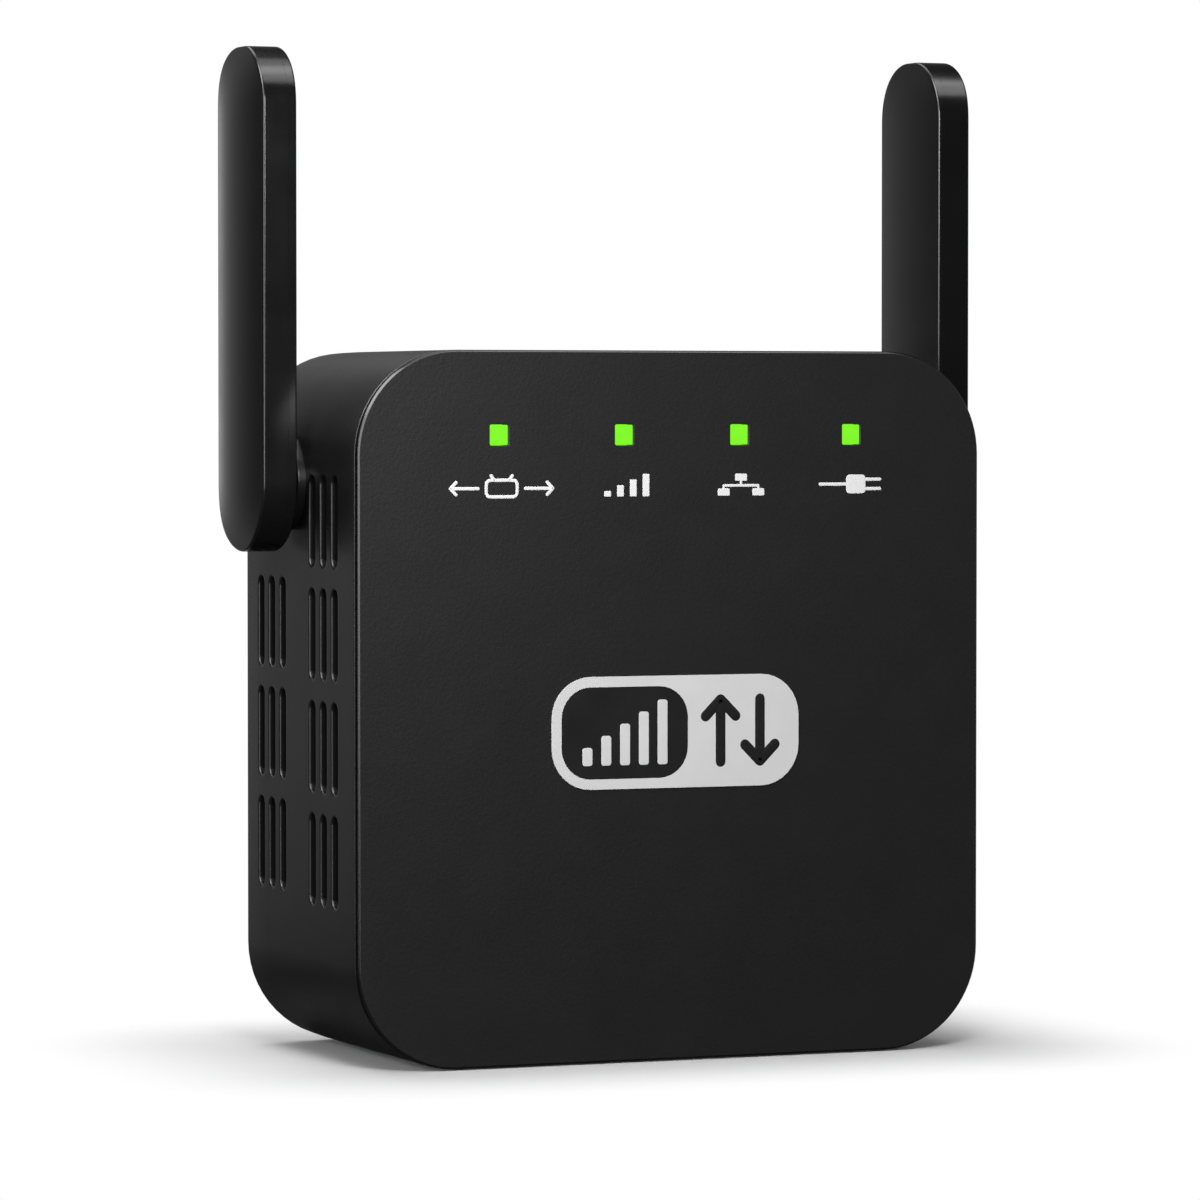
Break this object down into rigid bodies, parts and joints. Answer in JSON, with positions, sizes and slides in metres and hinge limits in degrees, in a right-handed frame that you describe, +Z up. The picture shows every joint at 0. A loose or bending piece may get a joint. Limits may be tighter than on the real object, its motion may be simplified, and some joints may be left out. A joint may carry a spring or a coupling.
{
  "type": "wall-plug wireless range extender",
  "caption": "Black wall-plug wireless router in a rounded square housing, with folding paddle antennas, indicator windows, side vents, a network socket and a round-pin mains plug.",
  "frame": {"origin": "centre of the housing's flat bottom face, which carries the network socket and the keys", "axes": "+Z up along the upright antennas, +Y towards the wall along the plug pins, -Y out of the front cover, +X to the right seen from the front"},
  "size_m": [0.0916, 0.0745, 0.1172],
  "materials": {
    "cover_plastic": "fine matte moulded grain, black",
    "housing_plastic": "smooth matte moulded black",
    "antenna_plastic": "satin moulded black",
    "button_plastic": "satin moulded black",
    "plug_plastic": "smooth moulded black",
    "sleeve_plastic": "smooth black insulation",
    "socket_plastic": "moulded black",
    "clear_plastic": "clear moulded, lit green",
    "white_plastic": "moulded off-white",
    "led_package": "white package with a clear lens",
    "circuit_board": "green solder mask",
    "power_laminate": "brown laminate",
    "chip_black": "moulded epoxy",
    "tinned_steel": "tinned",
    "contact_metal": "plated spring bronze",
    "pin_nickel": "nickel-plated brass",
    "screw_zinc": "zinc-plated",
    "ferrite": "ground ferrite",
    "yellow_tape": "insulating tape over the winding",
    "can_sleeve": "shrunk sleeve",
    "resistor_coat": "dipped coat",
    "blue_epoxy": "dipped epoxy",
    "red_wire": "insulation",
    "black_wire": "insulation",
    "grey_cable": "thin coaxial cable jacket",
    "washer_rubber": "friction washer"
  },
  "bodies": {
    "root": {"front_cover": "cover_plastic", "rear_housing": "housing_plastic", "light_guide": "clear_plastic", "main_board": "circuit_board", "processor": "chip_black", "memory_chip": "chip_black", "network_transformer": "chip_black", "rf_shield": "tinned_steel", "jack_body": "socket_plastic", "jack_contacts": "contact_metal", "pair_switch_body": "socket_plastic", "reset_switch_body": "socket_plastic", "power_board": "power_laminate", "transformer_core": "ferrite", "transformer_bobbin": "yellow_tape", "input_capacitor": "can_sleeve", "output_capacitor": "can_sleeve", "bridge_rectifier": "chip_black", "fuse_resistor": "resistor_coat", "disc_capacitor": "blue_epoxy", "dc_lead_positive": "red_wire", "dc_lead_negative": "black_wire", "plug_block": "plug_plastic", "led_1": "led_package", "led_2": "led_package", "led_3": "led_package", "led_4": "led_package", "left_housing_screw": "screw_zinc", "right_housing_screw": "screw_zinc", "left_board_screw": "screw_zinc", "right_board_screw": "screw_zinc", "left_power_screw": "screw_zinc", "right_power_screw": "screw_zinc", "left_coax_connector": "contact_metal", "right_coax_connector": "contact_metal", "left_coax": "grey_cable", "right_coax": "grey_cable", "left_plug_pin": "pin_nickel", "right_plug_pin": "pin_nickel", "left_pin_sleeve": "sleeve_plastic", "right_pin_sleeve": "sleeve_plastic", "left_mains_spring": "contact_metal", "right_mains_spring": "contact_metal"},
    "left_antenna": {"left_antenna_shell": "antenna_plastic", "left_antenna_lid": "antenna_plastic", "left_antenna_element": "circuit_board", "left_antenna_lead": "grey_cable", "left_antenna_washer": "washer_rubber", "left_antenna_clip": "tinned_steel"},
    "right_antenna": {"right_antenna_shell": "antenna_plastic", "right_antenna_lid": "antenna_plastic", "right_antenna_element": "circuit_board", "right_antenna_lead": "grey_cable", "right_antenna_washer": "washer_rubber", "right_antenna_clip": "tinned_steel"},
    "pair_key": {"pair_button": "button_plastic", "pair_switch_plunger": "white_plastic"},
    "reset_key": {"reset_switch_plunger": "white_plastic"}
  },
  "joints": [
    {"name": "left_antenna_fold", "type": "hinge", "parent": "root", "child": "left_antenna", "pos_m": [-0.039, 0.0034, 0.0667], "axis": [1, 0, 0], "range_deg": [0, 180]},
    {"name": "right_antenna_fold", "type": "hinge", "parent": "root", "child": "right_antenna", "pos_m": [0.039, 0.0034, 0.0667], "axis": [1, 0, 0], "range_deg": [0, 180]},
    {"name": "pair_press", "type": "slide", "parent": "root", "child": "pair_key", "axis": [0, 0, 1], "range_m": [0, 0.0005], "stiffness_N_per_m": 1200, "springref_m": -0.0005},
    {"name": "reset_press", "type": "slide", "parent": "root", "child": "reset_key", "axis": [0, 0, 1], "range_m": [0, 0.00025], "stiffness_N_per_m": 2000, "springref_m": -0.0005}
  ]
}
